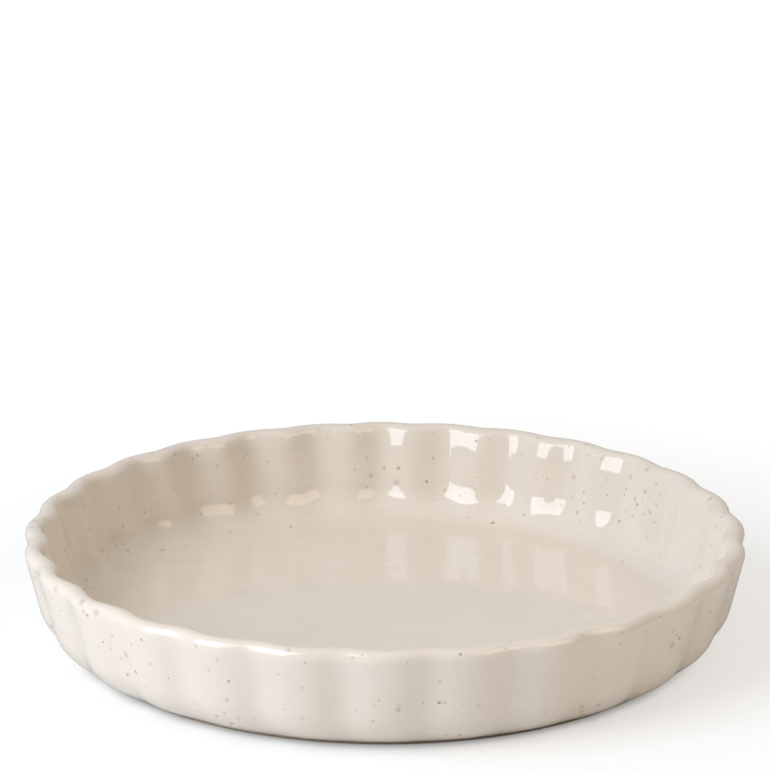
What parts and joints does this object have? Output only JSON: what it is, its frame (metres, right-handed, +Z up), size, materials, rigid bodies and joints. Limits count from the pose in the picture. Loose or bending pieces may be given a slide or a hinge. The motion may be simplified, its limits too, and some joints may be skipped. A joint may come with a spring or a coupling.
{
  "type": "fluted quiche dish",
  "caption": "Round shallow baking dish with a fluted flared wall, a rounded lip, a flat floor and a recessed foot ring.",
  "frame": {"origin": "centre of the foot ring, on the surface that the dish stands on", "axes": "+Z up along the dish's axis, -Y towards the viewer, with the middle of a flute crest on it"},
  "size_m": [0.2876, 0.2876, 0.0432],
  "materials": {
    "fired_stoneware": "matte",
    "speckled_glaze": "glossy cream glaze with sparse brown specks"
  },
  "bodies": {
    "root": {"stoneware_body": "fired_stoneware", "glaze_coat": "speckled_glaze", "underside_glaze": "speckled_glaze"}
  },
  "joints": []
}
